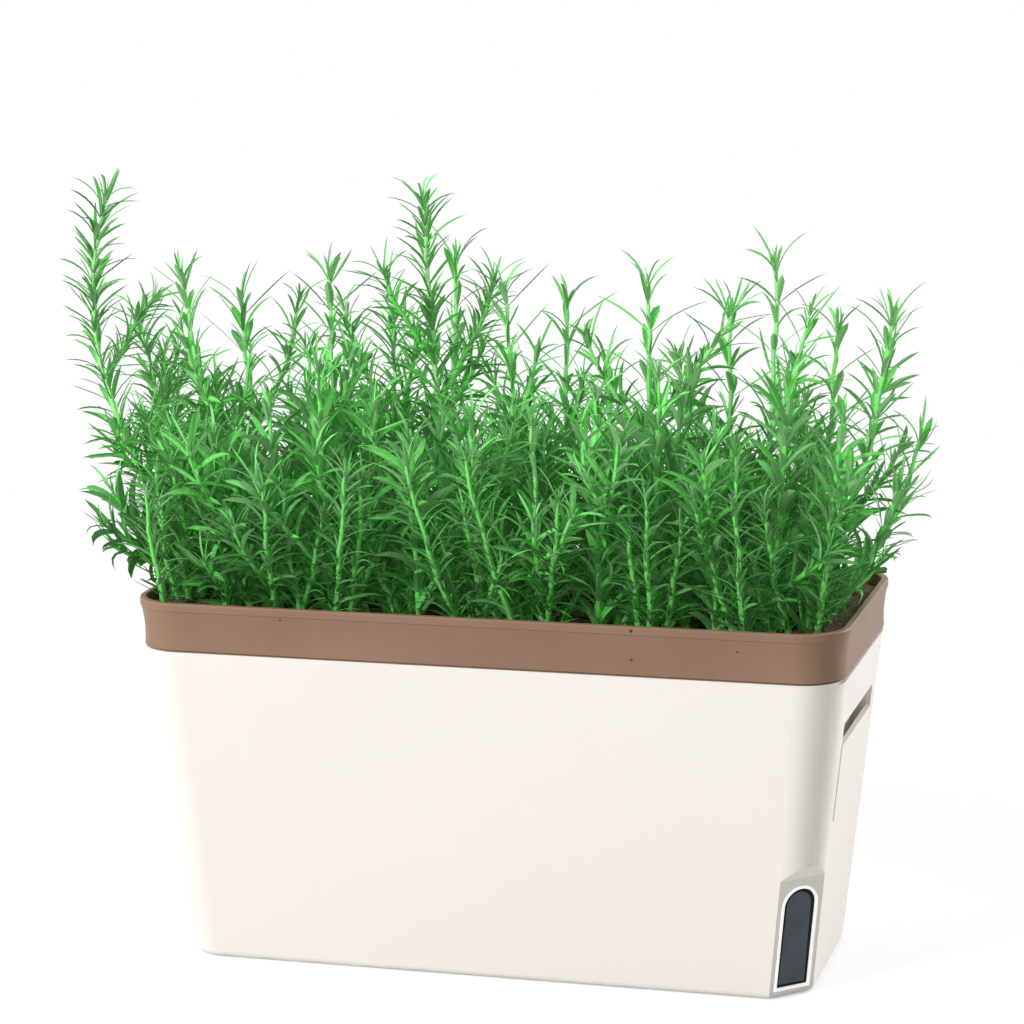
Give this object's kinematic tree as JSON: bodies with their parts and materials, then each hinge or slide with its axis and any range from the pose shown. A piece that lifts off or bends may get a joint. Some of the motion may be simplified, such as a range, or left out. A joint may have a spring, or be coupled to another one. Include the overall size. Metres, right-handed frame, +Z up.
{
  "type": "indoor herb planter",
  "caption": "Rectangular self-watering window-sill planter with a lift-out insert pot, corner sight window, end filling slots and rosemary stems.",
  "frame": {"origin": "middle of the outer pot's flat base", "axes": "+X along the planter towards the end with the sight window, front wall faces -Y, +Z up"},
  "size_m": [0.4668, 0.1594, 0.4064],
  "materials": {
    "cream_plastic": "satin",
    "brown_plastic": "satin",
    "pale_seal": "satin",
    "smoked_pane": "gloss",
    "soil": "matte",
    "rosemary": "satin"
  },
  "bodies": {
    "outer": {"outer_pot": "cream_plastic", "window_gasket": "pale_seal", "window_lens": "smoked_pane"},
    "insert": {"insert_pot": "brown_plastic", "potting_mix": "soil", "wick_cup_1": "brown_plastic", "wick_cup_2": "brown_plastic", "wick_cup_3": "brown_plastic", "wick_cup_4": "brown_plastic", "wick_plug_1": "soil", "wick_plug_2": "soil", "wick_plug_3": "soil", "wick_plug_4": "soil", "rosemary_sprig_01": "rosemary", "rosemary_sprig_02": "rosemary", "rosemary_sprig_03": "rosemary", "rosemary_sprig_04": "rosemary", "rosemary_sprig_05": "rosemary", "rosemary_sprig_06": "rosemary", "rosemary_sprig_07": "rosemary", "rosemary_sprig_08": "rosemary", "rosemary_sprig_09": "rosemary", "rosemary_sprig_10": "rosemary", "rosemary_sprig_11": "rosemary", "rosemary_sprig_12": "rosemary", "rosemary_sprig_13": "rosemary", "rosemary_sprig_14": "rosemary", "rosemary_sprig_15": "rosemary", "rosemary_sprig_16": "rosemary", "rosemary_sprig_17": "rosemary", "rosemary_sprig_18": "rosemary", "rosemary_sprig_19": "rosemary", "rosemary_sprig_20": "rosemary", "rosemary_sprig_21": "rosemary", "rosemary_sprig_22": "rosemary", "rosemary_sprig_23": "rosemary", "rosemary_sprig_24": "rosemary", "rosemary_sprig_25": "rosemary", "rosemary_sprig_26": "rosemary", "rosemary_sprig_27": "rosemary", "rosemary_sprig_28": "rosemary", "rosemary_sprig_29": "rosemary", "rosemary_sprig_30": "rosemary", "rosemary_sprig_31": "rosemary", "rosemary_sprig_32": "rosemary", "rosemary_sprig_33": "rosemary"}
  },
  "joints": [
    {"name": "insert_lift", "type": "slide", "parent": "outer", "child": "insert", "axis": [0, 0, 1], "range_m": [0, 0.17]}
  ]
}
